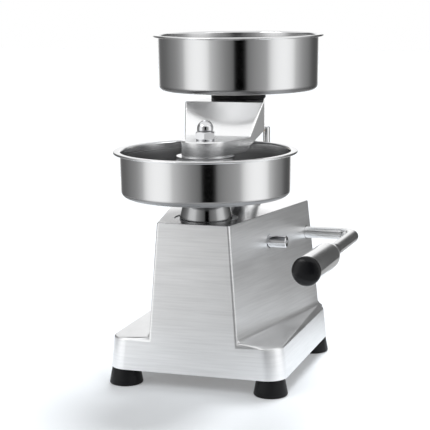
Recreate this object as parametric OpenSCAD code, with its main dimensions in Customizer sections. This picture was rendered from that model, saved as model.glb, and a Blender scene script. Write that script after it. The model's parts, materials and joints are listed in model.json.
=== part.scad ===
// Hand-lever burger patty press: hollow cast body on rubber feet, a bowl round the patty mould,
// a swing arm with the press disc, a second bowl over the arm's pivot, and a side lever that
// lifts the piston in the mould.
// Millimetres, +Z up. +X is the operator's right, +Y points to the back of the machine.
// Sizes below are taken from the mould's axis. The model is then moved so that the origin
// lies on the floor under the middle of the whole machine.

/* [Body casting] */
// Height of the flat machined top above the floor
body_top_z = 237.5; // [225:0.5:250]
// Width of the flat top at the front
top_front_w = 106.5; // [100:0.5:116]
// Width of the flat top at the back
top_back_w = 204; // [190:1:212]
// From the mould's axis forward to the top's front edge
front_reach = 60; // [56:1:70]
// From the mould's axis back to the top's back edge
back_reach = 190; // [188:1:200]
// How far the front and the back lean out between the top and the bottom edge
lean = 9; // [4:0.5:12]
// Growth of the width per millimetre down, at the front corners
front_flare = 0.147; // [0.1:0.001:0.18]
// Growth of the width per millimetre down, at the back corners
back_flare = 0.193; // [0.15:0.001:0.22]
// Radius of the front vertical edges
front_edge_r = 4; // [2:0.5:8]
// Radius of the back vertical edges
back_edge_r = 9; // [5:0.5:14]
// Thickness of the cast walls
wall_t = 6; // [4:0.5:8]
// Thickness of the cast top
top_t = 8; // [6:0.5:9]

/* [Plinth] */
// Width of the plinth at its bottom edge
plinth_w = 260; // [252:1:280]
// Height of the plinth's bottom edge above the floor
plinth_z = 25; // [20:1:30]
// Height of the wings at their outer edge
wing_z = 70; // [60:1:80]
// Rise of the wings from the outer edge to the body
wing_rise = 4.5; // [2:0.5:8]
// Draft of the plinth's sides, on each side
plinth_draft = 4.5; // [2:0.5:6]
// From the mould's axis back to the plinth's back edge
plinth_back = 216; // [212:1:224]
// Radius of the plinth's corners
corner_r = 28; // [20:1:34]
// Radius of the fillet between wing and body
fillet_r = 9; // [5:0.5:12]

/* [Feet] */
// Radius of a foot on the floor
foot_r = 24; // [20:0.5:26]
// Radius of a foot under the plinth
foot_top_r = 20; // [17:0.5:22]
// Half the distance between the left and right feet
foot_x = 107.5; // [100:0.5:110]
// Distance of the foot centres from the plinth's front and back edge
foot_inset = 22.5; // [20:0.5:28]
// Radius of the foot screws
foot_screw_r = 3; // [2:0.5:4]

/* [Bowls] */
// Radius of the lower bowl's rim
lower_rim_r = 130; // [126:0.5:134]
// Radius of the upper bowl's rim
upper_rim_r = 128; // [120:0.5:134]
// Width of the lower bowl's lip, outside its wall
lower_lip_w = 9.5; // [6:0.5:12]
// Width of the upper bowl's lip, outside its wall
upper_lip_w = 7.5; // [6:0.5:12]
// Height of the lower bowl's rim above the floor
lower_rim_z = 334; // [326:0.5:336]
// Depth of the lower bowl outside
lower_bowl_h = 64; // [58:0.5:66]
// Depth of the upper bowl outside
upper_bowl_h = 82.3; // [70:0.5:95]
// Thickness of the bowl sheet
sheet_t = 1.2; // [0.8:0.1:2]
// Radius between a bowl's wall and its bottom
bowl_corner_r = 9; // [5:0.5:14]
// Radius of the rolled bead on the rim
bead_r = 1.7; // [1.2:0.1:2.4]

/* [Mould and piston] */
// Inner radius of the mould cup
mould_r = 50; // [45:0.5:52]
// Wall thickness of the mould cup
mould_wall = 4; // [3:0.5:6]
// Thickness of the mould cup's floor
mould_floor = 4; // [3:0.5:6]
// Radius of the cone's foot on the body
cone_foot_r = 38; // [36:0.5:41]
// Radius of the cone under the bowl
cone_head_r = 30.3; // [28:0.1:34]
// Radius of the shallow seat round the cone
seat_r = 45.5; // [43:0.5:50]
// Depth of the shallow seat
seat_depth = 1.5; // [1:0.25:3]
// Thickness of the piston disc
piston_t = 5; // [4:0.5:8]
// Radius of the piston rod
rod_r = 10; // [8:0.5:11]

/* [Press arm] */
// From the mould's axis back to the pivot and the upper bowl's axis
pivot_y = 160; // [158:1:166]
// Height of the tongue's top
tongue_z = 348; // [347:0.5:352]
// Thickness of the tongue
tongue_t = 22; // [20:0.5:24]
// Radius of the tongue's rounded end
tongue_r = 34; // [31:0.5:37]
// Half the arm's width where the web stands on the tongue
web_foot_w = 50; // [46:0.5:54]
// Half the arm's width at the web's top
web_head_w = 60; // [56:0.5:64]
// From the mould's axis back to the foot of the web
web_foot_y = 52.5; // [48:0.5:56]
// From the mould's axis back to the top edge of the web
web_head_y = 85.5; // [80:0.5:90]
// Height of the arm's flat top
arm_top_z = 393.5; // [388:0.5:398]
// From the mould's axis back to where the tongue's underside starts to rise
web_under_y = 40; // [34:0.5:44]
// Height of the web's underside at the web's top
web_under_z = 352; // [348:0.5:356]
// Height of the underside of the arm's boss
boss_z = 346; // [344:0.5:350]
// Radius of the boss round the pivot
boss_r = 40; // [38:0.5:42]
// Radius of the pivot shaft
pivot_r = 12; // [10:0.5:14]
// How far the arm is lifted to clear the lower bowl's rim
raise_travel = 36; // [28:1:44]
// How far the lowered arm turns to each side before the stop pin holds it
swing_travel = 12; // [6:1:14]
// Thickness of the rubber ring under the upper bowl
ring_t = 12.9; // [8:0.1:14]
// Radius of the rubber ring
ring_r = 41; // [36:0.5:44]

/* [Lever] */
// From the mould's axis back to the fulcrum shaft
fulcrum_y = 51; // [48:0.5:54]
// Height of the fulcrum shaft
fulcrum_z = 198; // [192:0.5:202]
// Radius of the fulcrum shaft
fulcrum_r = 8.7; // [7:0.1:10]
// How far the fulcrum shaft stands out on the right
stub_len = 26; // [15:1:35]
// From the mould's axis back to the handle bar
bar_y = 170; // [166:0.5:171]
// Height of the handle bar
bar_z = 190.8; // [186:0.2:196]
// Radius of the handle bar
bar_r = 9; // [8:0.5:10]
// From the mould's axis right to the handle's arm
arm_x = 178.5; // [170:0.5:190]
// From the handle bar forward to the middle of the end cap
handle_len = 298; // [270:1:310]
// Angle of the handle's arm above level, at rest
handle_rise = 1.1; // [0:0.1:3]
// Bend radius of the handle bar, on its centre line
bend_r = 22; // [16:1:30]
// How far the handle is pushed down, in degrees
handle_travel = 30; // [22:1:30]
// Radius of the grip
grip_r = 19.7; // [16:0.1:22]
// Length of the grip, from its neck to the end cap
grip_len = 158; // [130:1:165]

/* [Fits] */
// Running clearance of a shaft in its bush, on the radius
run_gap = 0.05; // [0.03:0.01:0.08]
// Clearance between moving pieces that don't touch
free_gap = 0.3; // [0.2:0.05:0.5]
// Clearance of a fixed pin, screw or spigot in its hole, on the radius
fixed_gap = 0.05; // [0.03:0.01:0.1]

/* [Hidden] */
$fn = 96;

skin = 0.02;
hull_fn = 40;
eps = 0.5;

aluminium = [0.82, 0.83, 0.84];
polished = [0.88, 0.89, 0.90];
stainless = [0.70, 0.71, 0.73];
chrome_col = [0.80, 0.82, 0.85];
steel = [0.55, 0.56, 0.58];
bronze = [0.72, 0.53, 0.28];
black_rubber = [0.07, 0.07, 0.07];
black_plastic = [0.05, 0.05, 0.05];

// Heights that follow from the driving sizes
plate_z = body_top_z - top_t;
seat_z = body_top_z - seat_depth;
lower_bowl_z = lower_rim_z - lower_bowl_h;
cup_z = lower_bowl_z + sheet_t;
cup_floor_z = cup_z + mould_floor;
piston_z = cup_floor_z + free_gap;
lift = 2 * fulcrum_y * tan(handle_travel / 2);
cup_rim_z = piston_z + piston_t + lift;
tongue_bottom_z = tongue_z - tongue_t;
press_z = cup_rim_z + 0.5;
upper_bowl_z = arm_top_z + ring_t;

// Footprint of the whole machine, and the move that centres it over the origin
cap_dome = 9;
x_left = -max(lower_rim_r, upper_rim_r, plinth_w / 2);
x_right = arm_x + max(bar_r, grip_r);
grip_tip_y = bar_y - (handle_len + cap_dome) * cos(handle_rise);
y_front = -max(lower_rim_r, -grip_tip_y);
y_back = pivot_y + upper_rim_r;
centre = [(x_left + x_right) / 2, (y_front + y_back) / 2, 0];

module placed() {
  translate(-centre)
    children();
}

// A cylinder along X from x0 to x1
module x_rod(x0, x1, y, z, r) {
  translate([x0, y, z])
    rotate([0, 90, 0])
      cylinder(r = r, h = x1 - x0);
}

// A vertical tube
module tube(r_in, r_out, z0, z1) {
  translate([0, 0, z0])
    difference() {
      cylinder(r = r_out, h = z1 - z0);
      translate([0, 0, -1])
        cylinder(r = r_in, h = z1 - z0 + 2);
    }
}

// A tube along X
module x_tube(x0, x1, y, z, r_in, r_out) {
  difference() {
    x_rod(x0, x1, y, z, r_out);
    x_rod(x0 - 1, x1 + 1, y, z, r_in);
  }
}

// Points of an arc, from angle a0 to a1 in n steps
function arc(cx, cy, r, a0, a1, n) =
  [for (i = [0:n]) let (a = a0 + (a1 - a0) * i / n) [cx + r * cos(a), cy + r * sin(a)]];

// Outline of a bar with round ends' tangents: a straight taper between two circles
function taper(p, rp, q, rq) =
  let (d = norm(q - p), a = atan2(q[1] - p[1], q[0] - p[0]), b = acos((rp - rq) / d))
  [p + rp * [cos(a + b), sin(a + b)], p + rp * [cos(a - b), sin(a - b)],
   q + rq * [cos(a - b), sin(a - b)], q + rq * [cos(a + b), sin(a + b)]];

// A plate that lies across the machine: a YZ outline, w wide along X round x
module side_plate(x, w) {
  translate([x - w / 2, 0, 0])
    rotate([90, 0, 90])
      linear_extrude(w)
        children();
}

// Body casting: outlines at a height z

function body_fw(z) = top_front_w + front_flare * (body_top_z - z);
function body_bw(z) = top_back_w + back_flare * (body_top_z - z);
function lean_at(z) = lean * (body_top_z - z) / (body_top_z - plinth_z);
function body_y0(z) = -front_reach - lean_at(z);
function body_y1(z) = back_reach + lean_at(z);
function plinth_hw(z) = plinth_w / 2 - plinth_draft * (z - plinth_z) / (wing_z - plinth_z);
function plinth_y1(z) = plinth_back - lean * (z - plinth_z) / (body_top_z - plinth_z);
// The right wall's x at a depth and a height: the line that touches both corner discs
function side_x(y, z) =
  let (front = [body_fw(z) / 2 - front_edge_r, body_y0(z) + front_edge_r],
       back = [body_bw(z) / 2 - back_edge_r, body_y1(z) - back_edge_r],
       run = (back - front) / norm(back - front),
       drop = (front_edge_r - back_edge_r) / norm(back - front),
       out = drop * run + sqrt(1 - drop * drop) * [run[1], -run[0]])
  (out * front + front_edge_r - out[1] * y) / out[0];

// Four corner discs at height z: front and back half widths, front and back y, corner radii
module ring4(hf, hb, y0, y1, rf, rb, z) {
  for (s = [-1, 1]) {
    translate([s * (hf - rf), y0 + rf, z])
      cylinder(r = rf, h = skin, $fn = hull_fn);
    translate([s * (hb - rb), y1 - rb, z])
      cylinder(r = rb, h = skin, $fn = hull_fn);
  }
}

// The body's ring at height z, drawn in by d on every side
module body_ring(z, d) {
  ring4(body_fw(z) / 2 - d, body_bw(z) / 2 - d, body_y0(z) + d, body_y1(z) - d,
        max(front_edge_r - d, 1), max(back_edge_r - d, 1), z);
}

module plinth_ring(z, d) {
  ring4(plinth_hw(z) - d, plinth_hw(z) - d, body_y0(z) + d, plinth_y1(z) - d,
        corner_r - d, corner_r - d, z);
}

module body_solid() {
  hull() {
    body_ring(plinth_z, 0);
    body_ring(body_top_z - 1.2, 0);
    body_ring(body_top_z - skin, 1.2);
  }
}

module plinth_solid() {
  hull() {
    plinth_ring(plinth_z, 0);
    plinth_ring(wing_z - 2.5, 0);
    plinth_ring(wing_z - 0.6, 0.8);
    plinth_ring(wing_z, 2.4);
    ring4(body_fw(wing_z) / 2, body_bw(wing_z) / 2, body_y0(wing_z) + 2.4, body_y1(wing_z),
          front_edge_r, back_edge_r, wing_z + wing_rise);
  }
}

// The concave corner between wings and body, in two bands: growth outward at three heights
crease_z = wing_z + wing_rise;
fillet_rings = [[fillet_r - 1, -0.3, 1], [2.5, 0.2 * fillet_r, 3], [-3, 0.9 * fillet_r, 3]];

module fillet_ring(i) {
  z = crease_z + fillet_rings[i][0];
  out = fillet_rings[i][1];
  ring4(body_fw(z) / 2 + out, min(body_bw(z) / 2 + out, plinth_hw(wing_z) - 3),
        body_y0(z) + fillet_rings[i][2], body_y1(z) + out,
        front_edge_r + 1, back_edge_r + 1, z);
}

module wing_fillet() {
  hull() {
    fillet_ring(0);
    fillet_ring(1);
  }
  hull() {
    fillet_ring(1);
    fillet_ring(2);
  }
}

module body_hollow() {
  hull() {
    body_ring(plinth_z - 1, wall_t);
    body_ring(plate_z, wall_t);
  }
}

module plinth_hollow() {
  hull() {
    plinth_ring(plinth_z - 1, wall_t + 1);
    plinth_ring(wing_z - wall_t, wall_t + 1);
  }
}

foot_y = [body_y0(plinth_z) + foot_inset, plinth_back - foot_inset];
fulcrum_wall = side_x(fulcrum_y, fulcrum_z);
bar_wall = side_x(bar_y, bar_z);
boss_in = 16;
bar_bush_r = bar_r + 3;
bush_end = bar_wall - 6;
pillar_screw_r = 3;
pillar_screw_pcd_r = 26;
cone_spigot_r = cone_head_r - 3;
pillar_spigot_r = 18;
foot_boss_h = 30;
foot_boss_cap = 4;
foot_boss_top = plinth_z + foot_boss_h;
pillar_boss_t = 5;
pillar_screw_in = 15;
thread_rest = 4;
lead = 1;

// Bosses cast on the inside of the walls
module inner_bosses() {
  for (s = [-1, 1]) {
    x_rod(s > 0 ? fulcrum_wall - boss_in : -fulcrum_wall - wall_t,
          s > 0 ? fulcrum_wall + wall_t : -fulcrum_wall + boss_in, fulcrum_y, fulcrum_z,
          fulcrum_r + 7);
    x_rod(s > 0 ? bar_wall - boss_in : -bar_wall - wall_t,
          s > 0 ? bar_wall + wall_t : -bar_wall + boss_in, bar_y, bar_z, bar_bush_r + 5);
    x_rod(s > 0 ? spring_wall - boss_in : -spring_wall - wall_t,
          s > 0 ? spring_wall + wall_t : -spring_wall + boss_in, spring_y, spring_rod_z,
          spring_rod_r + 5);
    for (y = foot_y)
      translate([s * foot_x, y, plinth_z - 2])
        cylinder(r = foot_screw_r + 9, h = foot_boss_top - plinth_z + 2);
  }
  translate([0, pivot_y, plate_z - pillar_boss_t])
    cylinder(r = pillar_screw_pcd_r + 2 * pillar_screw_r, h = pillar_boss_t + top_t / 2);
}

module base_casting() {
  color(aluminium)
    placed()
      difference() {
        union() {
          body_solid();
          plinth_solid();
          wing_fillet();
        }
        difference() {
          union() {
            body_hollow();
            plinth_hollow();
          }
          inner_bosses();
        }
        translate([0, 0, seat_z])
          cylinder(r = seat_r, h = seat_depth + lead);
        translate([0, 0, plate_z - lead])
          cylinder(r = cone_spigot_r + fixed_gap, h = top_t + 2 * lead);
        translate([0, pivot_y, plate_z - pillar_boss_t - lead])
          cylinder(r = pillar_spigot_r + fixed_gap, h = pillar_boss_t + top_t + 2 * lead);
        pillar_screw_places()
          translate([0, 0, plate_z - pillar_boss_t - lead])
            cylinder(r = pillar_screw_r + fixed_gap, h = pillar_boss_t + top_t + 2 * lead);
        x_rod(-fulcrum_wall - 2 * wall_t, fulcrum_wall + 2 * wall_t, fulcrum_y, fulcrum_z,
              fulcrum_r + fixed_gap);
        x_rod(-bar_wall - 2 * wall_t, bar_wall + 2 * wall_t, bar_y, bar_z, bar_r + 2 * free_gap);
        x_rod(-bush_end, bush_end, bar_y, bar_z, bar_bush_r + fixed_gap);
        for (s = [-1, 1])
          x_rod(s * (fulcrum_wall + 4) - 6, s * (fulcrum_wall + 4) + 6, fulcrum_y, fulcrum_z,
                fulcrum_r + 1.8);
        foot_places()
          translate([0, 0, plinth_z - lead])
            cylinder(r = foot_screw_r + fixed_gap, h = foot_boss_h - foot_boss_cap + lead);
        x_rod(-spring_rod_end - 0.5, spring_rod_end + 0.5, spring_y, spring_rod_z,
              spring_rod_r + fixed_gap);
      }
}

module pillar_screw_places() {
  for (a = [45:90:315])
    translate([pillar_screw_pcd_r * cos(a), pivot_y + pillar_screw_pcd_r * sin(a), 0])
      children();
}

module foot_places() {
  for (s = [-1, 1], y = foot_y)
    translate([s * foot_x, y, 0])
      children();
}

// Rubber feet

foot_recess_r = 9;
foot_grip = 11;
foot_head_z = plinth_z - foot_grip;

module rubber_foot(s, y) {
  color(black_rubber)
    placed()
      translate([s * foot_x, y, 0])
        rotate_extrude()
          polygon(concat([[foot_recess_r, 0]], arc(foot_r - 2, 2, 2, -90, 0, 4),
                         arc(foot_top_r - 1, plinth_z - 1, 1, 0, 90, 3),
                         [[foot_screw_r + 0.2, plinth_z], [foot_screw_r + 0.2, foot_head_z],
                          [foot_recess_r, foot_head_z]]));
}

module foot_front_left() rubber_foot(-1, foot_y[0]);
module foot_front_right() rubber_foot(1, foot_y[0]);
module foot_rear_left() rubber_foot(-1, foot_y[1]);
module foot_rear_right() rubber_foot(1, foot_y[1]);

washer_t = 1.6;
foot_screw_head = 4.5;

module foot_washers() {
  color(steel)
    placed()
      foot_places()
        tube(foot_screw_r + 0.2, foot_recess_r - 0.6, foot_head_z - washer_t, foot_head_z);
}

module foot_screws() {
  color(steel)
    placed()
      foot_places()
        union() {
          translate([0, 0, foot_head_z - washer_t - lead])
            cylinder(r = foot_screw_r,
                     h = foot_boss_top - foot_boss_cap - thread_rest - foot_head_z + washer_t + lead);
          translate([0, 0, foot_head_z - washer_t - foot_screw_head])
            cylinder(r = 1.85 * foot_screw_r, h = foot_screw_head);
        }
}

// Cone, bowl and mould on the body's top

bush_r = rod_r + 3.5;
cone_thread_r = cone_spigot_r - 1;
ring_nut_t = 7.5;
cone_bottom_z = plate_z - ring_nut_t - 1;
cup_screw_r = 2.5;
cup_screw_pcd_r = 20;
cup_screw_in = 12;
cup_head_h = 2.5;

module mould_base() {
  color(polished)
    placed()
      difference() {
        union() {
          translate([0, 0, seat_z])
            cylinder(r1 = cone_foot_r, r2 = cone_head_r, h = lower_bowl_z - seat_z);
          translate([0, 0, plate_z])
            cylinder(r = cone_spigot_r, h = seat_z - plate_z + eps);
          translate([0, 0, cone_bottom_z])
            cylinder(r = cone_thread_r, h = plate_z - cone_bottom_z + eps);
        }
        translate([0, 0, cone_bottom_z - lead])
          cylinder(r = bush_r + fixed_gap, h = lower_bowl_z - cone_bottom_z + 2 * lead);
        cup_screw_places()
          translate([0, 0, lower_bowl_z - cup_screw_in - thread_rest / 2])
            cylinder(r = cup_screw_r + fixed_gap, h = cup_screw_in + thread_rest / 2 + lead);
      }
}

module mould_base_nut() {
  color(steel)
    placed()
      difference() {
        translate([0, 0, plate_z - ring_nut_t])
          cylinder(r = cone_spigot_r + 12, h = ring_nut_t);
        translate([0, 0, plate_z - ring_nut_t - 1])
          cylinder(r = cone_thread_r + fixed_gap, h = ring_nut_t + 2);
        for (a = [0:90:270])
          rotate([0, 0, a])
            translate([cone_spigot_r + 8, -4, plate_z - ring_nut_t - 1])
              cube([8, 8, ring_nut_t + 2]);
      }
}

module rod_bush() {
  color(bronze)
    placed()
      tube(rod_r + run_gap, bush_r, cone_bottom_z, lower_bowl_z - 1);
}

// A straight-sided sheet bowl with a rounded corner, a flat lip and a rolled bead
module bowl(z0, h, rim_r, lip_w, hole_r) {
  wall_r = rim_r - lip_w;
  foot_r2 = wall_r - 1;
  ci = bowl_corner_r - sheet_t;
  translate([0, 0, z0])
    rotate_extrude($fn = 144)
      polygon(concat(
        [[hole_r, sheet_t], [hole_r, 0]],
        arc(foot_r2 - bowl_corner_r, bowl_corner_r, bowl_corner_r, -90, 0, 7),
        arc(wall_r + 2, h - sheet_t - 2, 2, 180, 90, 4),
        arc(rim_r - bead_r, h - bead_r, bead_r, 180 - asin(1 - sheet_t / bead_r), 450, 12),
        [[wall_r + 2, h]],
        arc(wall_r + 2, h - sheet_t - 2, 2 + sheet_t, 90, 180, 4),
        arc(foot_r2 - bowl_corner_r, bowl_corner_r, ci, 0, -90, 7)));
}

module lower_bowl() {
  color(stainless)
    placed()
      difference() {
        bowl(lower_bowl_z, lower_bowl_h, lower_rim_r, lower_lip_w, bush_r + 1);
        cup_screw_places()
          translate([0, 0, lower_bowl_z - 1])
            cylinder(r = cup_screw_r + 0.2, h = sheet_t + 2);
      }
}

module cup_screw_places() {
  for (a = [90, 210, 330])
    translate([cup_screw_pcd_r * cos(a), cup_screw_pcd_r * sin(a), 0])
      children();
}

module mould_cup() {
  color(polished)
    placed()
      difference() {
        translate([0, 0, cup_z])
          cylinder(r = mould_r + mould_wall, h = cup_rim_z - cup_z);
        translate([0, 0, cup_floor_z])
          cylinder(r = mould_r, h = cup_rim_z - cup_floor_z + 1);
        translate([0, 0, cup_z - 1])
          cylinder(r = rod_r + free_gap, h = mould_floor + 2);
        translate([0, 0, cup_rim_z - 1])
          cylinder(r1 = mould_r, r2 = mould_r + 1.2, h = 1 + skin);
        cup_screw_places()
          union() {
            translate([0, 0, cup_z - 1])
              cylinder(r = cup_screw_r + fixed_gap, h = mould_floor + 2);
            translate([0, 0, cup_floor_z - cup_head_h])
              cylinder(r1 = cup_screw_r + fixed_gap, r2 = cup_screw_r + cup_head_h + 2 * fixed_gap,
                       h = cup_head_h + skin);
          }
      }
}

module mould_screws() {
  color(steel)
    placed()
      cup_screw_places()
        union() {
          translate([0, 0, lower_bowl_z - cup_screw_in])
            cylinder(r = cup_screw_r, h = cup_floor_z - lower_bowl_z + cup_screw_in - cup_head_h / 2);
          translate([0, 0, cup_floor_z - cup_head_h])
            cylinder(r1 = cup_screw_r, r2 = cup_screw_r + cup_head_h, h = cup_head_h);
        }
}

// Pillar and pivot of the swing arm

pillar_r = 25;
pillar_foot_r = 33;
pillar_flange_t = 8;
thrust_t = 2;
bush_flange_t = 2;
pillar_top_z = boss_z - bush_flange_t - thrust_t - free_gap;
stop_r = 5.4;
stop_at_r = 43;
stop_angle = 28.4;
stop_top_z = boss_z + 3;
groove_gap = 3;
// The pin meets the groove's end this many degrees past the working swing
stop_overrun = 2;
ear_z = 296;
ear_t = 20;
ear_wall = 3;
stop_xy = stop_at_r * [cos(stop_angle), sin(stop_angle)];
pivot_bottom_z = plate_z + 1;
shaft_ring_t = 4;
shaft_ring_r = pivot_r + 3;
guide_z = pivot_bottom_z + shaft_ring_t + raise_travel + free_gap;
nut_seat_z = arm_top_z - 17;
nut_washer_t = 2.5;
pivot_thread_r = 8;
pivot_washer_r = 15.5;
pivot_nut_af = 24;
pivot_nut_h = 9;
nut_pocket_r = pivot_washer_r + 2;

module pivot_pillar() {
  color(aluminium)
    placed()
      translate([0, pivot_y, 0])
        difference() {
          union() {
            translate([0, 0, body_top_z])
              cylinder(r = pillar_foot_r, h = pillar_flange_t);
            translate([0, 0, body_top_z + pillar_flange_t - skin])
              cylinder(r1 = pillar_foot_r - 2, r2 = pillar_r, h = 24);
            translate([0, 0, body_top_z])
              cylinder(r = pillar_r, h = pillar_top_z - body_top_z);
            translate([0, 0, plate_z - 4])
              cylinder(r = pillar_spigot_r, h = top_t + 5);
            translate([0, 0, ear_z])
              linear_extrude(ear_t)
                polygon(taper([0, 0], pillar_r - 1, stop_xy, stop_r + ear_wall));
            translate([stop_xy[0], stop_xy[1], ear_z])
              cylinder(r = stop_r + ear_wall, h = ear_t);
          }
          translate([0, 0, guide_z - 1])
            cylinder(r = pivot_r + run_gap, h = pillar_top_z - guide_z + 2);
          translate([0, 0, plate_z - 5])
            cylinder(r = shaft_ring_r + free_gap, h = guide_z - plate_z + 5);
          translate([stop_xy[0], stop_xy[1], ear_z - 1])
            cylinder(r = stop_r + fixed_gap, h = ear_t + 2);
          for (a = [45:90:315])
            translate([pillar_screw_pcd_r * cos(a), pillar_screw_pcd_r * sin(a), body_top_z - lead])
              cylinder(r = pillar_screw_r + fixed_gap, h = pillar_screw_in + thread_rest + lead);
        }
}

module pillar_screws() {
  color(steel)
    placed()
      pillar_screw_places()
        union() {
          translate([0, 0, plate_z - pillar_boss_t - lead])
            cylinder(r = pillar_screw_r, h = pillar_boss_t + top_t + pillar_screw_in + lead);
          translate([0, 0, plate_z - pillar_boss_t - 2 * pillar_screw_r])
            cylinder(r = 1.7 * pillar_screw_r, h = 2 * pillar_screw_r);
        }
}

module pivot_shaft() {
  color(steel)
    placed()
      translate([0, pivot_y, 0])
        union() {
          translate([0, 0, pivot_bottom_z])
            cylinder(r = pivot_r, h = nut_seat_z + free_gap - pivot_bottom_z);
          translate([0, 0, nut_seat_z])
            cylinder(r = pivot_thread_r, h = arm_top_z - 3 - nut_seat_z);
        }
}

// Ring on the shaft's foot: it meets the end of the pillar's counterbore when the arm is raised
module shaft_ring() {
  color(steel)
    placed()
      translate([0, pivot_y, 0])
        tube(pivot_r + fixed_gap, shaft_ring_r, pivot_bottom_z, pivot_bottom_z + shaft_ring_t);
}

module stop_pin() {
  color(steel)
    placed()
      translate([stop_xy[0], pivot_y + stop_xy[1], 0])
        rotate_extrude($fn = 48)
          polygon(concat([[0, ear_z], [stop_r, ear_z]],
                         arc(stop_r - 2.5, stop_top_z - 2.5, 2.5, 0, 90, 5),
                         [[0, stop_top_z]]));
}

module thrust_washer() {
  color(bronze)
    placed()
      translate([0, pivot_y, 0])
        tube(pivot_r + 0.2, pillar_r - 1, pillar_top_z, pillar_top_z + thrust_t);
}

module pivot_washer() {
  color(steel)
    placed()
      translate([0, pivot_y, 0])
        tube(pivot_thread_r + 0.2, pivot_washer_r, nut_seat_z + free_gap,
             nut_seat_z + free_gap + nut_washer_t);
}

module pivot_nut() {
  z0 = nut_seat_z + free_gap + nut_washer_t;
  color(steel)
    placed()
      translate([0, pivot_y, z0])
        difference() {
          cylinder(r = pivot_nut_af / 2 / cos(30), h = pivot_nut_h, $fn = 6);
          translate([0, 0, -lead])
            cylinder(r = pivot_thread_r + fixed_gap, h = pivot_nut_h + 2 * lead);
        }
}

// Swing arm: a rounded tongue over the mould, a leaning web, and a boss round the pivot

// An upright round post with chamfered top and foot
module post(r, z0, z1, foot, top) {
  translate([0, 0, z0])
    cylinder(r1 = r - foot, r2 = r, h = foot + skin, $fn = hull_fn);
  translate([0, 0, z0 + foot])
    cylinder(r = r, h = z1 - z0 - foot - top, $fn = hull_fn);
  translate([0, 0, z1 - top])
    cylinder(r1 = r, r2 = r - top, h = top, $fn = hull_fn);
}

web_edge_r = 4;
edge = 1.2;
web_back_y = web_head_y + web_edge_r;

// Height of the rising underside between the tongue and the web's top
function under_z(y) =
  tongue_bottom_z + (web_under_z - tongue_bottom_z) * (y - web_under_y) / (web_back_y - web_under_y);

module web_posts(w, y, z0, z1) {
  for (s = [-1, 1])
    translate([s * (w - web_edge_r), y, 0])
      post(web_edge_r, z0, z1, 1, edge);
}

module arm_solid() {
  under_w = tongue_r + (web_foot_w - tongue_r) * web_under_y / web_foot_y;
  hull() {
    post(tongue_r, tongue_bottom_z, tongue_z, 1, edge);
    web_posts(under_w, web_under_y, tongue_bottom_z, tongue_z);
    web_posts(web_foot_w, web_foot_y, under_z(web_foot_y), tongue_z);
  }
  hull() {
    web_posts(web_foot_w, web_foot_y + web_edge_r, under_z(web_foot_y + web_edge_r), tongue_z);
    web_posts(web_head_w, web_back_y, web_under_z, arm_top_z);
  }
  hull() {
    web_posts(web_head_w, web_back_y, web_under_z, arm_top_z);
    translate([0, pivot_y, 0])
      post(boss_r, boss_z, arm_top_z, 1, edge);
  }
}

module press_arm() {
  color(polished)
    placed()
      difference() {
        arm_solid();
        translate([0, 0, tongue_bottom_z - 1])
          cylinder(r = stud_r + fixed_gap, h = tongue_t + 2);
        translate([0, pivot_y, boss_z - 1])
          cylinder(r = arm_bush_r + fixed_gap, h = arm_top_z - boss_z + 2);
        translate([0, pivot_y, nut_seat_z])
          cylinder(r = nut_pocket_r, h = arm_top_z - nut_seat_z + lead);
        stop_groove();
      }
}

// Relief in the boss's rim: the stop pin runs in it and meets its ends
module stop_groove() {
  half = asin((stop_r + free_gap) / stop_at_r) + stop_overrun;
  groove_r = stop_at_r - stop_r - groove_gap;
  translate([0, pivot_y, boss_z - lead])
    rotate([0, 0, stop_angle - swing_travel - half])
      rotate_extrude(angle = 2 * (swing_travel + half))
        translate([groove_r, 0])
          square([boss_r + groove_gap - groove_r, stop_top_z - boss_z + lead + groove_gap]);
}

stud_r = 6;
arm_bush_r = pivot_r + 3.5;
nut_t = 10;
nut_af = 26;
dome_r = 11.6;
dome_h = 6;
stud_washer_t = 1.6;
nut_z = tongue_z + stud_washer_t;

module arm_bush() {
  color(bronze)
    placed()
      translate([0, pivot_y, 0])
        difference() {
          union() {
            translate([0, 0, boss_z])
              cylinder(r = arm_bush_r, h = nut_seat_z - boss_z);
            translate([0, 0, boss_z - bush_flange_t])
              cylinder(r = pillar_r - 2, h = bush_flange_t);
          }
          translate([0, 0, boss_z - bush_flange_t - 1])
            cylinder(r = pivot_r + run_gap, h = nut_seat_z - boss_z + 10);
        }
}

press_r = mould_r + mould_wall;
press_edge = 4;
press_hub_r = 41;

module press_disc() {
  color(polished)
    placed()
      difference() {
        rotate_extrude()
          polygon(concat([[0, press_z], [press_r - 0.8, press_z], [press_r, press_z + 0.8],
                          [press_r, press_z + press_edge]],
                         arc(press_r + 4, tongue_bottom_z - 1, press_r + 4 - press_hub_r,
                             230, 180, 6),
                         [[press_hub_r, tongue_bottom_z], [0, tongue_bottom_z]]));
        translate([0, 0, press_z + press_edge])
          cylinder(r = stud_r + fixed_gap, h = tongue_bottom_z - press_z);
      }
}

module press_stud() {
  color(steel)
    placed()
      translate([0, 0, press_z + press_edge])
        cylinder(r = stud_r, h = nut_z + nut_t + 4 - press_z - press_edge);
}

module nut_washer() {
  color(chrome_col)
    placed()
      tube(stud_r + 0.2, nut_af / 2 + 0.4, tongue_z, nut_z);
}

module acorn_nut() {
  dome_z = nut_z + nut_t - 1.5;
  color(chrome_col)
    placed()
      difference() {
        union() {
          intersection() {
            translate([0, 0, nut_z])
              cylinder(r = nut_af / 2 / cos(30), h = nut_t, $fn = 6);
            translate([0, 0, nut_z - 22])
              cylinder(r1 = nut_af / 2 + 24, r2 = nut_af / 2 - 7.4, h = nut_t + 23.5);
          }
          translate([0, 0, dome_z])
            rotate_extrude()
              polygon(concat([[0, 0], [dome_r, 0], [dome_r, dome_h]],
                             arc(0, dome_h, dome_r, 0, 90, 10)));
        }
        translate([0, 0, nut_z - 1])
          cylinder(r = stud_r + fixed_gap, h = nut_t + 5.5);
      }
}

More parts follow.
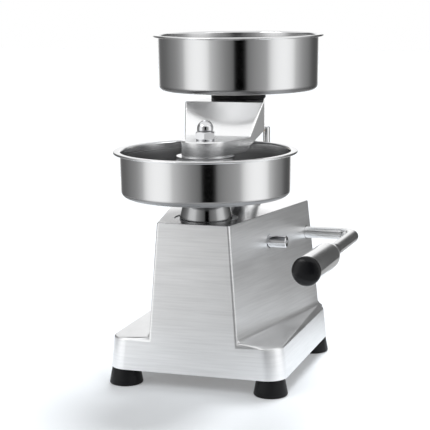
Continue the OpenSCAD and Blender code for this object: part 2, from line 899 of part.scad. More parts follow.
module support_ring() {
  color(black_rubber)
    placed()
      translate([0, pivot_y, 0])
        tube(collar_r + free_gap, ring_r, arm_top_z, upper_bowl_z - free_gap);
}

// Upper bowl, lifted off for washing: its collar drops into the rubber ring

collar_r = 29.5;
collar_t = 3;
collar_h = 6;

module upper_bowl() {
  color(stainless)
    placed()
      translate([0, pivot_y, 0])
        bowl(upper_bowl_z, upper_bowl_h, upper_rim_r, upper_lip_w, 0);
}

module bowl_collar() {
  color(stainless)
    placed()
      translate([0, pivot_y, 0])
        tube(collar_r - collar_t, collar_r, upper_bowl_z - collar_h, upper_bowl_z);
}

// Lever work inside the body

fulcrum_left = -fulcrum_wall - 6;
fulcrum_right = fulcrum_wall + stub_len;

module fulcrum_shaft() {
  color(chrome_col)
    placed()
      union() {
        x_rod(fulcrum_left, fulcrum_right - 1.2, fulcrum_y, fulcrum_z, fulcrum_r);
        translate([fulcrum_right - 1.2 - skin, fulcrum_y, fulcrum_z])
          rotate([0, 90, 0])
            cylinder(r1 = fulcrum_r, r2 = fulcrum_r - 1.2, h = 1.2 + skin);
      }
}

rocker_w = 26;
ring_w = 6;

// Two collars hold the rocker in the middle of its shaft
module fulcrum_rings() {
  color(steel)
    placed()
      for (s = [-1, 1])
        x_tube(s * (rocker_w / 2 + 1 + ring_w / 2) - ring_w / 2,
               s * (rocker_w / 2 + 1 + ring_w / 2) + ring_w / 2,
               fulcrum_y, fulcrum_z, fulcrum_r + fixed_gap, fulcrum_r + 5);
}

module bar_bush(s) {
  x_in = s * (bar_wall - boss_in - 2);
  x_out = s * bush_end;
  color(bronze)
    placed()
      difference() {
        union() {
          x_rod(min(x_in, x_out), max(x_in, x_out), bar_y, bar_z, bar_bush_r);
          x_rod(min(x_in, x_in + s * 2), max(x_in, x_in + s * 2), bar_y, bar_z, bar_bush_r + 3);
        }
        x_rod(min(x_in, x_out) - 1, max(x_in, x_out) + 1, bar_y, bar_z, bar_r + run_gap);
      }
}

module bar_bush_left() bar_bush(-1);
module bar_bush_right() bar_bush(1);

// Handle

collar_len = 6;
bar_collar_r = bar_r + 5;
collar_x = -side_x(bar_y + bar_collar_r, bar_z - bar_collar_r) - free_gap;
bar_left = collar_x - collar_len - 1;
// The bar draws out thinner in the bend
bend_draw = 0.04;
// The bar ends inside the grip, this far behind the end cap
bar_short = 30;

module handle_bar() {
  color(chrome_col)
    placed()
      translate([0, bar_y, bar_z])
        rotate([-handle_rise, 0, 0])
          union() {
            x_rod(bar_left, arm_x - bend_r + eps, 0, 0, bar_r);
            translate([arm_x - bend_r, -bend_r, 0])
              rotate_extrude(angle = 90)
                translate([bend_r, 0])
                  circle(r = bar_r - bend_draw);
            translate([arm_x, eps - bend_r, 0])
              rotate([90, 0, 0])
                cylinder(r = bar_r, h = handle_len - bar_short - bend_r + eps);
          }
}

// A sleeve of the given profile along the handle's arm: [radius, distance forward of the bar]
module on_handle() {
  placed()
    translate([arm_x, bar_y, bar_z])
      rotate([90 - handle_rise, 0, 0])
        children();
}

grip_front = handle_len - 3;
grip_neck = handle_len - grip_len;
ferrule_len = 10;
shoulder_len = 48;
neck_r = bar_r + 1.8;

module handle_grip() {
  color(aluminium)
    on_handle()
      difference() {
        rotate_extrude()
          polygon(concat(
            [[0, grip_neck + ferrule_len], [neck_r, grip_neck + ferrule_len]],
            [for (i = [1:7]) let (t = i / 8)
              [neck_r + (grip_r - 1.2 - neck_r) * (1 - cos(180 * t)) / 2,
               grip_neck + ferrule_len + (shoulder_len - ferrule_len) * t]],
            [[grip_r - 1.2, grip_neck + shoulder_len], [grip_r, grip_front - 1],
             [grip_r - 0.6, grip_front], [0, grip_front]]));
        translate([0, 0, grip_neck - 1])
          cylinder(r = bar_r + fixed_gap, h = handle_len - bar_short - grip_neck + 2 * lead);
      }
}

module grip_ferrule() {
  color(chrome_col)
    on_handle()
      tube(bar_r + fixed_gap, bar_r + 1.3, grip_neck, grip_neck + ferrule_len);
}

module grip_cap() {
  color(black_plastic)
    on_handle()
      rotate_extrude()
        polygon(concat([[0, grip_front], [grip_r, grip_front]],
                       [for (a = [0:10:90])
                         [grip_r * cos(a), handle_len + cap_dome * sin(a)]]));
}

module bar_collar() {
  color(steel)
    placed()
      x_tube(collar_x - collar_len, collar_x, bar_y, bar_z, bar_r + fixed_gap, bar_collar_r);
}

// Crank on the bar: its pin presses the rocker's curved pad, at the same radius on both

link_d = norm([bar_y - fulcrum_y, bar_z - fulcrum_z]);
crank_r = link_d / 2;
crank_dip = 4;
crank_hub_r = bar_r + 4.5;
pin_r = 7;
tine_t = 6;
pad_w = 12;
crank_w = pad_w + 2 * (tine_t + 1);
crank_screw_r = 3;
bar_at = [bar_y, bar_z];
fulcrum_at = [fulcrum_y, fulcrum_z];

function turned(p, a) = [p[0] * cos(a) - p[1] * sin(a), p[0] * sin(a) + p[1] * cos(a)];
// The crank pin's centre in the YZ plane when the handle is down by a
function crank_pin_at(a) = bar_at - crank_r * [cos(crank_dip + a), sin(crank_dip + a)];
// The same centre as the rocker sees it, because the rocker turns back by a
function pin_on_rocker(a) = fulcrum_at + turned(crank_pin_at(a) - fulcrum_at, a);
function unit(v) = v / norm(v);
function pad_normal(a) = turned(unit(pin_on_rocker(a + 0.5) - pin_on_rocker(a - 0.5)), 90);
// A point d under the path of the pin's centre
function pad_point(a, d) = pin_on_rocker(a) - d * pad_normal(a);

crank_tip = crank_pin_at(0);
pad_angles = [for (i = [0:8]) -2 + (handle_travel + 4) * i / 8];
pad_gap = pin_r + free_gap;
pad_t = 10;

module handle_crank() {
  color(steel)
    placed()
      difference() {
        union() {
          x_rod(-crank_w / 2, crank_w / 2, bar_y, bar_z, crank_hub_r);
          side_plate(0, crank_w)
            polygon(taper(bar_at, crank_hub_r - 1, crank_tip, pin_r + 3));
          x_rod(-crank_w / 2, crank_w / 2, crank_tip[0], crank_tip[1], pin_r + 3);
        }
        x_rod(-crank_w, crank_w, bar_y, bar_z, bar_r + fixed_gap);
        x_rod(-crank_w, crank_w, crank_tip[0], crank_tip[1], pin_r - 3 + fixed_gap);
        // The slot between the two tines, in which the rocker's pad moves
        translate([-pad_w / 2 - 1, fulcrum_y, fulcrum_z - crank_r])
          cube([pad_w + 2, bar_y - crank_hub_r - 4 - fulcrum_y, 2 * crank_r]);
        translate([0, bar_y, bar_z])
          cylinder(r = crank_screw_r, h = 2 * crank_hub_r);
      }
}

module crank_screw() {
  color(steel)
    placed()
      translate([0, bar_y, bar_z + bar_r + skin])
        cylinder(r = crank_screw_r - fixed_gap, h = crank_hub_r - bar_r - 0.5);
}

module crank_pin() {
  color(steel)
    placed()
      union() {
        x_rod(-crank_w / 2 - 0.5, crank_w / 2 + 0.5, crank_tip[0], crank_tip[1], pin_r - 3);
        x_rod(-pad_w / 2 - 0.8, pad_w / 2 + 0.8, crank_tip[0], crank_tip[1], pin_r);
      }
}

// Rocker: hub on the fulcrum, a fork with the nose pin under the piston rod, and the curved pad

nose_len = fulcrum_y / cos(handle_travel / 2);
nose_at = fulcrum_at + nose_len * [-cos(handle_travel / 2), -sin(handle_travel / 2)];
nose_r = 6;
nose_w = 14;
hub_r = fulcrum_r + 9;
rocker_bush_r = fulcrum_r + 3;
spring_pin_at = fulcrum_at - 35 * [cos(handle_travel / 2), sin(handle_travel / 2)];
spring_pin_r = 2.5;

module rocker_lever() {
  color(steel)
    placed()
      difference() {
        union() {
          x_rod(-rocker_w / 2, rocker_w / 2, fulcrum_y, fulcrum_z, hub_r);
          side_plate(0, rocker_w)
            polygon(taper(fulcrum_at, hub_r - 3, nose_at, nose_r + 2));
          x_rod(-rocker_w / 2, rocker_w / 2, nose_at[0], nose_at[1], nose_r + 2);
          side_plate(0, pad_w)
            polygon(concat([for (a = pad_angles) pad_point(a, pad_gap)],
                           [for (i = [8:-1:0]) pad_point(pad_angles[i], pad_gap + pad_t)],
                           [fulcrum_at + [2, -hub_r + 1], fulcrum_at + [8, hub_r - 3],
                            pad_point(pad_angles[0], pad_gap) - [2 * pin_r, 0]]));
        }
        x_rod(-rocker_w, rocker_w, fulcrum_y, fulcrum_z, rocker_bush_r + fixed_gap);
        x_rod(-rocker_w, rocker_w, nose_at[0], nose_at[1], nose_r - 2 + fixed_gap);
        x_rod(-rocker_w, rocker_w, spring_pin_at[0], spring_pin_at[1], spring_pin_r + fixed_gap);
        translate([-nose_w / 2 - 0.4, nose_at[0] - 30, nose_at[1] - 40])
          cube([nose_w + 0.8, fulcrum_y - hub_r - 6 - nose_at[0] + 30, 80]);
      }
}

module rocker_bush() {
  color(bronze)
    placed()
      x_tube(-rocker_w / 2 - 0.5, rocker_w / 2 + 0.5, fulcrum_y, fulcrum_z, fulcrum_r + run_gap,
             rocker_bush_r);
}

module nose_pin() {
  color(steel)
    placed()
      union() {
        x_rod(-rocker_w / 2 - 0.5, rocker_w / 2 + 0.5, nose_at[0], nose_at[1], nose_r - 2);
        x_rod(-nose_w / 2, nose_w / 2, nose_at[0], nose_at[1], nose_r);
      }
}

// Tension spring between a rod across the casting and the pin in the rocker's fork:
// a ring of points swept along a hook, a helix and a second hook

spring_y = spring_pin_at[0];
spring_r = 6;
wire_r = 1.1;
spring_turns = 13;
spring_steps = 12;
wire_sides = 6;
spring_rod_r = 4;
spring_rod_z = 118;
spring_wall = side_x(spring_y, spring_rod_z);
spring_rod_end = spring_wall - wall_t + 1;
low_hook_r = spring_rod_r + free_gap + wire_r;
high_hook_r = spring_pin_r + free_gap + wire_r;
coil_z0 = spring_rod_z + low_hook_r + 3;
coil_z1 = spring_pin_at[1] - high_hook_r - 3;

// The wire's centre line from the lower hook up to the upper hook
spring_path = concat(
  [for (a = [-240:30:60])
    [0, spring_y + low_hook_r * cos(a), spring_rod_z + low_hook_r * sin(a)]],
  [for (i = [0:spring_turns * spring_steps])
    let (t = i / (spring_turns * spring_steps), a = 360 * i / spring_steps + 90)
    [spring_r * cos(a), spring_y + spring_r * sin(a), coil_z0 + (coil_z1 - coil_z0) * t]],
  [for (a = [-60:30:240])
    [0, spring_y + high_hook_r * cos(a), spring_pin_at[1] + high_hook_r * sin(a)]]);

function along(p, i) = unit(p[min(i + 1, len(p) - 1)] - p[max(i - 1, 0)]);
// A direction across the wire that keeps clear of its run
function across(d) = unit(cross(d, abs(d[0]) > 0.9 ? [0, 0, 1] : [1, 0, 0]));

module wire(path, r, sides) {
  n = len(path);
  points = [for (i = [0:n - 1], j = [0:sides - 1])
    let (d = along(path, i), u = across(d), v = cross(d, u), b = 360 * j / sides)
    path[i] + r * (cos(b) * u + sin(b) * v)];
  faces = [for (i = [0:n - 2], j = [0:sides - 1])
    let (k = (j + 1) % sides, a = i * sides, b = a + sides)
    [a + j, a + k, b + k, b + j]];
  polyhedron(points, concat([[for (j = [sides - 1:-1:0]) j]], faces,
                            [[for (j = [0:sides - 1]) (n - 1) * sides + j]]), convexity = 8);
}

module return_spring() {
  color(steel)
    placed()
      wire(spring_path, wire_r, wire_sides);
}

module spring_pin() {
  color(steel)
    placed()
      x_rod(-rocker_w / 2, rocker_w / 2, spring_pin_at[0], spring_pin_at[1], spring_pin_r);
}

module spring_rod() {
  color(steel)
    placed()
      x_rod(-spring_rod_end, spring_rod_end, spring_y, spring_rod_z, spring_rod_r);
}

// Piston

rod_tip_r = 6.5;
rod_tip_h = 8;
tip_pin_r = 3.5;
tip_pin_in = 8;
piston_screw_r = 4;
piston_screw_in = 16;
piston_head_h = 3;
rod_foot_z = nose_at[1] + nose_r + free_gap;

module piston_disc() {
  color(polished)
    placed()
      difference() {
        translate([0, 0, piston_z])
          cylinder(r = mould_r - free_gap, h = piston_t);
        translate([0, 0, piston_z - 1])
          cylinder(r = piston_screw_r + fixed_gap, h = piston_t + 2);
        translate([0, 0, piston_z + piston_t - piston_head_h])
          cylinder(r1 = piston_screw_r + fixed_gap,
                   r2 = piston_screw_r + piston_head_h + 2 * fixed_gap, h = piston_head_h + skin);
      }
}

module piston_rod() {
  color(steel)
    placed()
      difference() {
        translate([0, 0, rod_foot_z + rod_tip_h])
          cylinder(r = rod_r, h = piston_z - rod_foot_z - rod_tip_h);
        translate([0, 0, piston_z - piston_screw_in - thread_rest / 2])
          cylinder(r = piston_screw_r + fixed_gap, h = piston_screw_in + thread_rest / 2 + lead);
        translate([0, 0, rod_foot_z + rod_tip_h - lead])
          cylinder(r = tip_pin_r + fixed_gap, h = tip_pin_in + 2 * lead);
      }
}

module piston_screw() {
  color(chrome_col)
    placed()
      union() {
        translate([0, 0, piston_z - piston_screw_in])
          cylinder(r = piston_screw_r, h = piston_screw_in + piston_t - piston_head_h / 2);
        translate([0, 0, piston_z + piston_t - piston_head_h])
          cylinder(r1 = piston_screw_r, r2 = piston_screw_r + piston_head_h, h = piston_head_h);
      }
}

// Hardened tip on which the nose pin presses
module rod_foot() {
  color(steel)
    placed()
      translate([0, 0, rod_foot_z])
        union() {
          cylinder(r = rod_tip_r, h = rod_tip_h);
          cylinder(r = tip_pin_r, h = rod_tip_h + tip_pin_in);
        }
}

base_casting();
foot_front_left();
foot_front_right();
foot_rear_left();
foot_rear_right();
foot_screws();
foot_washers();
mould_base();
mould_base_nut();
rod_bush();
lower_bowl();
mould_cup();
mould_screws();
pivot_pillar();
pillar_screws();
pivot_shaft();
stop_pin();
shaft_ring();
thrust_washer();
pivot_washer();
pivot_nut();
fulcrum_shaft();
fulcrum_rings();
bar_bush_left();
bar_bush_right();
return_spring();
spring_rod();
press_arm();
arm_bush();
press_disc();
press_stud();
nut_washer();
acorn_nut();
support_ring();
handle_bar();
bar_collar();
handle_crank();
crank_pin();
crank_screw();
handle_grip();
grip_ferrule();
grip_cap();
rocker_lever();
rocker_bush();
nose_pin();
spring_pin();
piston_disc();
piston_rod();
piston_screw();
rod_foot();
upper_bowl();
bowl_collar();
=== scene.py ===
# %% [markdown]
# # A burger patty press, piece by piece
# The machine presses minced meat to a round patty. A cast body on rubber feet carries a bowl
# with the mould, a swing arm with the press disc and a second bowl over the arm's pivot.
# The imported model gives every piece's place. This lesson gives the pieces their looks.

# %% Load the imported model
import math

import bpy
from mathutils import Matrix, Vector
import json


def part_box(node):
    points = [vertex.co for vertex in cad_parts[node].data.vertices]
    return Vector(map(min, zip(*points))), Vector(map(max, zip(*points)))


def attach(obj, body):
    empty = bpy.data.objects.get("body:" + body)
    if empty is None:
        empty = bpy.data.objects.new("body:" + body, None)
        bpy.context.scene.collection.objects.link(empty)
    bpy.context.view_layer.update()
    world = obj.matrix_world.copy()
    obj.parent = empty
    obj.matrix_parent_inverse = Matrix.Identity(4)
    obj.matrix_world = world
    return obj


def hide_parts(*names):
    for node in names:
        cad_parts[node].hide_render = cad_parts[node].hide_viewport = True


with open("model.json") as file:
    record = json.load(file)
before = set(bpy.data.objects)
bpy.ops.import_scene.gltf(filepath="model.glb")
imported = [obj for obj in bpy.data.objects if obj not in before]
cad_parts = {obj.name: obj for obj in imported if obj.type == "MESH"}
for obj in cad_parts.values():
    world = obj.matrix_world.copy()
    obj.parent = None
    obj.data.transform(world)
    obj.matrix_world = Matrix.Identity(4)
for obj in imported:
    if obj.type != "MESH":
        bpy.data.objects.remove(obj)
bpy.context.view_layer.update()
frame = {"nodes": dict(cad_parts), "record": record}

# %% [markdown]
# ## Where things are
# Two upright axes rule this machine: the mould's and the pivot's, 160 mm farther back. Every
# turned piece stands on one of them, so their places are read from the model once.
# Sizes below are in millimetres, as a drawing has them, and become metres in one function.

# %% The two upright axes
MM = 0.001


def middle(node):
    low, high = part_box(node)
    return (low + high) / 2


mould = middle("mould_cup")
pivot = middle("pivot_nut")


def at(x, y, z):
    """A point in metres from its distances to the mould's axis and its height, in mm."""
    return Vector((mould.x + x * MM, mould.y + y * MM, z * MM))


def rounded(values, digits=3):
    return [round(v, digits) for v in values]


print("mould axis", rounded(mould[:2], 4), "pivot axis", rounded(pivot[:2], 4))

# %% [markdown]
# ## The camera
# The photo was taken with a long lens from the front and a little to the right, about 2.1 m
# away and half a metre up. The ellipses of both bowl rims, the edges of the body and the
# handle's end fix the place and the lens. A camera looks along its own -Z axis, so the three
# columns of its matrix are its right, its up and its backward direction.

# %% Set the camera
eye = bpy.data.cameras.new("product_camera")
eye.lens = 114.7
eye.sensor_width = 36
eye.clip_end = 30
camera = bpy.data.objects.new("product_camera", eye)
bpy.context.scene.collection.objects.link(camera)
right = Vector((0.9513, 0.3083, -0.0090)).normalized()
forward = Vector((-0.3052, 0.9367, -0.1717)).normalized()
up = right.cross(forward).normalized()
turn = Matrix((right, up, -forward)).transposed().to_4x4()
camera.matrix_world = Matrix.Translation(at(604.5, -1814.8, 574.1)) @ turn
bpy.context.scene.camera = camera
print("camera at", rounded(camera.location), "lens", round(eye.lens, 1))

# %% [markdown]
# ## A small set of hand tools
# Most pieces of this machine are turned on a lathe, so the main tool is a lathe too. A line is
# drawn point by point with extrude and then spun round Z. That is what a turner's template
# does, and it gives exact radii, which a modelled cylinder with bevels only comes near.

# %% Draw a line and spin it
def deselect():
    if bpy.context.object and bpy.context.object.mode != "OBJECT":
        bpy.ops.object.mode_set(mode="OBJECT")
    bpy.ops.object.select_all(action="DESELECT")


def pick(piece):
    deselect()
    piece.select_set(True)
    bpy.context.view_layer.objects.active = piece


def draw_line(name, points):
    """Points are (radius, height) in mm, from one end of the template to the other."""
    deselect()
    bpy.ops.mesh.primitive_plane_add(size=0.01)
    piece = bpy.context.object
    piece.name = name
    bpy.ops.object.mode_set(mode="EDIT")
    bpy.ops.mesh.select_all(action="SELECT")
    bpy.ops.mesh.merge(type="CENTER")
    spots = [Vector((r * MM, 0, z * MM)) for r, z in points]
    bpy.ops.transform.translate(value=spots[0])
    for here, there in zip(spots, spots[1:]):
        bpy.ops.mesh.extrude_region_move(TRANSFORM_OT_translate={"value": there - here})
    return piece


def close_up():
    """Merges double points, turns the faces outwards and leaves edit mode."""
    bpy.ops.mesh.select_all(action="SELECT")
    bpy.ops.mesh.remove_doubles(threshold=0.01 * MM)
    bpy.ops.mesh.normals_make_consistent(inside=False)
    bpy.ops.object.mode_set(mode="OBJECT")


def turn_on_lathe(name, points, steps=96):
    piece = draw_line(name, points)
    bpy.ops.mesh.select_all(action="SELECT")
    bpy.ops.mesh.spin(steps=steps, angle=2 * math.pi, center=(0, 0, 0), axis=(0, 0, 1))
    close_up()
    return piece


def arc(r, z, radius, start, end, n):
    """Points of a rounded corner about (r, z), from the start angle to the end angle."""
    angles = [math.radians(start + (end - start) * i / n) for i in range(n + 1)]
    return [(r + radius * math.cos(a), z + radius * math.sin(a)) for a in angles]


# %% [markdown]
# A finished piece has its place in its mesh, because the model's own pieces do and the looks
# read the same coordinates. The last step of each piece is therefore the same: its transform
# is applied, its edges are shaded by angle, and it is tied to the body that it moves with.

# %% Put a piece in its place and finish it
def put(piece, place, turned=(0, 0, 0)):
    piece.location = place
    piece.rotation_euler = [math.radians(a) for a in turned]
    return piece


def finish_piece(piece, look, slot, body, *nodes, sharp=35):
    pick(piece)
    bpy.ops.object.transform_apply(location=True, rotation=True, scale=True)
    bpy.ops.object.shade_smooth_by_angle(angle=math.radians(sharp))
    piece.data.materials.clear()
    piece.data.materials.append(look)
    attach(piece, body)
    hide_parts(*nodes)
    size = [round(v / MM) for v in piece.dimensions]
    print(f"{piece.name}: {len(piece.data.polygons)} faces, {size} mm, rides on {body}")
    return piece


# %% [markdown]
# ## Finishes
# A metal has almost no colour of its own. What tells cast, brushed and polished metal apart is
# how fine the surface is: its roughness, and the marks that the tool left. Each finish below
# starts from the shader, with plain values on the shader's own sockets, and then lets a
# pattern change the roughness and the height a little. A range of roughness stays on one
# side of 0.27, because the renderer cleans smoother and rougher metal in two different ways
# and a finish that crosses the limit gets specks.

# %% Start a finish and add nodes to it
def new_look(name, colour, metallic, roughness):
    look = bpy.data.materials.new(name)
    look.use_nodes = True
    look.diffuse_color = (*colour, 1)
    shader = look.node_tree.nodes["Principled BSDF"]
    shader.inputs["Base Color"].default_value = (*colour, 1)
    shader.inputs["Metallic"].default_value = metallic
    shader.inputs["Roughness"].default_value = roughness
    print("finish:", name)
    return look, look.node_tree, shader


def feed(tree, socket, value):
    """Links a socket to another one, or gives it a plain number, colour or vector."""
    if isinstance(value, bpy.types.NodeSocket):
        tree.links.new(value, socket)
    elif socket.type == "RGBA":
        socket.default_value = (*value, 1)
    else:
        socket.default_value = value


def node(tree, kind, **values):
    """Adds a node and sets its properties and sockets by name, with _ for a space."""
    new = tree.nodes.new(kind)
    for key, value in values.items():
        if hasattr(new, key):
            setattr(new, key, value)
        else:
            feed(tree, new.inputs[key.replace("_", " ")], value)
    return new


# %% [markdown]
# A pattern starts from the place of each point on the piece. Noise over that place is a grain.
# Noise over the radius and the height alone gives the rings that a lathe leaves.

# %% Patterns
def spot(tree, centre=(0, 0, 0), stretch=(1, 1, 1)):
    """Where a point of the piece lies, seen from the centre and stretched along the axes."""
    place = node(tree, "ShaderNodeTexCoord")
    seen = node(tree, "ShaderNodeMapping", Vector=place.outputs["Object"],
                Location=[-c * s for c, s in zip(centre, stretch)], Scale=stretch)
    return seen.outputs["Vector"]


def from_axis(tree, centre):
    """The level distance of a point from an upright axis, in metres."""
    reach = node(tree, "ShaderNodeVectorMath", operation="LENGTH",
                 Vector=spot(tree, centre, (1, 1, 0)))
    return reach.outputs["Value"]


def from_floor(tree):
    """The height of a point, in metres."""
    return node(tree, "ShaderNodeSeparateXYZ", Vector=spot(tree)).outputs["Z"]


def grain(tree, scale, stretch=(1, 1, 1), detail=4):
    noise = node(tree, "ShaderNodeTexNoise", Vector=spot(tree, stretch=stretch),
                 Scale=scale, Detail=detail)
    return noise.outputs["Fac"]


def rings(tree, centre, scale, axis="Z"):
    """Fine marks that run round an axis: noise over the radius and the height alone."""
    split = node(tree, "ShaderNodeSeparateXYZ", Vector=spot(tree, centre)).outputs
    first, second = {"Y": "XZ", "Z": "XY"}[axis]
    flat = node(tree, "ShaderNodeCombineXYZ", X=split[first], Y=split[second])
    reach = node(tree, "ShaderNodeVectorMath", operation="LENGTH", Vector=flat.outputs["Vector"])
    pair = node(tree, "ShaderNodeCombineXYZ", X=reach.outputs["Value"], Y=split[axis])
    noise = node(tree, "ShaderNodeTexNoise", Vector=pair.outputs["Vector"],
                 Scale=scale, Detail=3)
    return noise.outputs["Fac"]


# %% [markdown]
# The other tools turn a pattern or a distance into a roughness, a tone or a height. A Mix node
# keeps the sockets of all its kinds, some with the same name, so they are found by number.

# %% From patterns to looks
MIX_SOCKETS = {"RGBA": (6, 7, 2), "FLOAT": (2, 3, 0)}


def spread(tree, source, low, high):
    """Brings a pattern's 0.3 to 0.7 to the range low to high."""
    span = node(tree, "ShaderNodeMapRange", Value=source, From_Min=0.3, From_Max=0.7,
                To_Min=low, To_Max=high)
    return span.outputs["Result"]


def zone(tree, distance, low, high):
    """0 where a distance is below the low value in mm, 1 where it is above the high one."""
    step = node(tree, "ShaderNodeMapRange", Value=distance, From_Min=low * MM,
                From_Max=high * MM)
    return step.outputs["Result"]


def calc(tree, operation, *values):
    """A Math node on sockets and plain numbers."""
    step = node(tree, "ShaderNodeMath", operation=operation)
    for socket, value in zip(step.inputs, values):
        feed(tree, socket, value)
    return step.outputs["Value"]


def blend(tree, share, low, high, kind="RGBA", way="MIX"):
    """Mixes two colours, or two numbers if the kind is FLOAT, by a share from 0 to 1."""
    mix = node(tree, "ShaderNodeMix", data_type=kind, blend_type=way, Factor=share)
    first, second, result = MIX_SOCKETS[kind]
    feed(tree, mix.inputs[first], low)
    feed(tree, mix.inputs[second], high)
    return mix.outputs[result]


def add_height(tree, shader, source, strength, distance):
    """Lets a pattern raise the surface by a distance in mm."""
    bump = node(tree, "ShaderNodeBump", Strength=strength, Distance=distance * MM, Height=source)
    feed(tree, shader.inputs["Normal"], bump.outputs["Normal"])


def mark(tree, shader, pattern, low, high, strength, distance):
    """Lets one pattern change the roughness between low and high, and the height."""
    feed(tree, shader.inputs["Roughness"], spread(tree, pattern, low, high))
    add_height(tree, shader, pattern, strength, distance)


# %% [markdown]
# ** Spun stainless sheet.** A bowl is pressed and then polished while it turns, so the marks run round the wall and in circles over the floor. They blur reflections up and down and leave the tall stripes sharp, as on the photo. The polishing wheel reaches neither the rounded corner nor the inside, so the sheet is rougher there, and its colour is painted darker there as painted shade. The upper bowl's bottom face is painted lighter than the polished wall, as painted light.
# Radii and heights in the looks are in millimetres from the axis and the floor.

# %% Look: spun stainless
WALL = 120.5  # outer radius of a bowl's wall below the lip
POLISHED, DULL_PAINTED_SHADE = (0.73, 0.735, 0.74), (0.30, 0.30, 0.305)


def spun_sheet(name, centre, bottom, underside_painted_light=0):
    look, tree, shader = new_look(name, POLISHED, 1.0, 0.11)
    height = from_floor(tree)
    outside = zone(tree, from_axis(tree, centre), WALL - 1.5, WALL - 1.1)
    above_corner = zone(tree, height, bottom + 1, bottom + 9)
    polished = calc(tree, "MINIMUM", outside, above_corner)
    # Inside and in the rounded corner the colour is darker, which is painted shade. The rougher
    # finish there is real.
    tone = blend(tree, polished, DULL_PAINTED_SHADE, POLISHED)
    # The bottom face gets a tone lighter than the polished wall: painted light.
    if underside_painted_light:
        above_floor = zone(tree, height, bottom + 0.4, bottom + 0.8)
        below = blend(tree, above_floor, (underside_painted_light,) * 3, (0, 0, 0))
        tone = blend(tree, 1, tone, below, way="LIGHTEN")
    marks = rings(tree, centre, 900)
    satin, fine = spread(tree, marks, 0.30, 0.42), spread(tree, marks, 0.08, 0.14)
    feed(tree, shader.inputs["Base Color"], tone)
    feed(tree, shader.inputs["Roughness"], blend(tree, polished, satin, fine, "FLOAT"))
    add_height(tree, shader, marks, 0.05, 0.02)
    return look


lower_bottom, lower_top = (corner.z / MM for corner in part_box("lower_bowl"))
upper_bottom, upper_top = (corner.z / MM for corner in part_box("upper_bowl"))
lower_bowl_look = spun_sheet("spun_stainless_lower", mould, lower_bottom)
upper_bowl_look = spun_sheet("spun_stainless_upper", pivot, upper_bottom, underside_painted_light=0.9)

# %% [markdown]
# **Brushed casting.** The body is sand-cast aluminium, ground smooth and then brushed level
# all round. The lines therefore lie at one height on every wall: noise that changes fast with
# the height and slowly along the wall. Broad faint clouds remain from the grinding. Only the
# top is machined flat, so it is finer than the walls and mirrors the cone that stands on it.
# Its colour is painted dark round the cone, as painted shade under the bowl, and light toward the
# back.

# %% Look: brushed casting
cast_look, tree, shader = new_look("brushed_casting", (0.80, 0.805, 0.81), 1.0, 0.32)
lines = grain(tree, 420, stretch=(0.04, 0.04, 1), detail=6)
clouds = grain(tree, 22, stretch=(0.5, 0.5, 1.6), detail=3)
body_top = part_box("base_casting")[1].z
is_top = calc(tree, "GREATER_THAN", from_floor(tree), body_top - 0.2 * MM)
wall_rough = calc(tree, "ADD", spread(tree, lines, -0.03, 0.03), spread(tree, clouds, 0.33, 0.40))
feed(tree, shader.inputs["Roughness"], blend(tree, is_top, wall_rough, 0.17, "FLOAT"))
wall_tone = blend(tree, spread(tree, lines, 0, 1), (0.83, 0.835, 0.84), (0.91, 0.915, 0.92))
# Painted shade: the top's colour is dark within 60 mm of the mould's axis, under the bowl.
beyond_painted_shade = zone(tree, from_axis(tree, mould), 60, 115)
top_tone_painted_shade = blend(tree, beyond_painted_shade, (0.20, 0.20, 0.205), (0.86, 0.865, 0.87))
feed(tree, shader.inputs["Base Color"], blend(tree, is_top, wall_tone, top_tone_painted_shade))
add_height(tree, shader, lines, 0.10, 0.03)

# %% [markdown]
# ** Polished aluminium.** The arm is buffed by hand. The buff leaves short soft streaks, so the noise is stretched along X. The cone and the press disc are polished while they turn, so their marks are rings. The cone's copy of the metal is painted darker than the disc's, as painted shade under the bowl.

# %% Look: buffed and turned metal
buffed_look, tree, shader = new_look("buffed_aluminium", (0.95, 0.955, 0.96), 1.0, 0.21)
streaks = grain(tree, 140, stretch=(0.15, 1, 1))
mark(tree, shader, streaks, 0.18, 0.24, 0.01, 0.02)


def turned_metal(name, colour):
    look, tree, shader = new_look(name, colour, 1.0, 0.10)
    mark(tree, shader, rings(tree, mould, 700), 0.06, 0.14, 0.06, 0.02)
    return look


turned_look = turned_metal("turned_aluminium", (0.82, 0.825, 0.83))
# The cone's darker colour is painted shade under the bowl.
cone_look_painted_shade = turned_metal("cone_metal_painted_shade", (0.44, 0.445, 0.45))

# %% [markdown]
# **Plating.** The nut, its washer, the ferrule and the stub shaft are plated. A plated surface
# is nearly a mirror, with only a trace of the ground steel under it. The handle's bar and the
# stop pin have the same plating over a coarser grind, so they are satin.

# %% Look: bright and satin plating
bright_look, tree, shader = new_look("bright_plating", (0.74, 0.745, 0.76), 1.0, 0.08)
mark(tree, shader, grain(tree, 90, detail=5), 0.05, 0.12, 0.03, 0.02)

satin_look, tree, shader = new_look("satin_plating", (0.80, 0.805, 0.81), 1.0, 0.26)
mark(tree, shader, grain(tree, 160, stretch=(0.1, 0.1, 1)), 0.16, 0.24, 0.02, 0.02)

# %% [markdown]
# **Machined steel and bronze.** The lever work inside is plain turned steel with a film of
# oil, and its bushes are bronze. Both show faint bands from the cutting tool.

# %% Look: machined steel and bronze
steel_look, tree, shader = new_look("machined_steel", (0.50, 0.51, 0.52), 1.0, 0.32)
mark(tree, shader, grain(tree, 500, stretch=(1, 0.2, 1)), 0.30, 0.42, 0.12, 0.03)

bronze_look, tree, shader = new_look("machined_bronze", (0.66, 0.46, 0.22), 1.0, 0.30)
mark(tree, shader, grain(tree, 600, stretch=(1, 1, 0.2)), 0.29, 0.38, 0.10, 0.03)

# %% [markdown]
# **Rubber and plastic.** The feet and the ring under the upper bowl are black rubber with a
# faint sheen; the grip's end cap is smooth plastic. Neither is quite black: a base of about
# one percent and a little gloss keep the form readable in the shade.

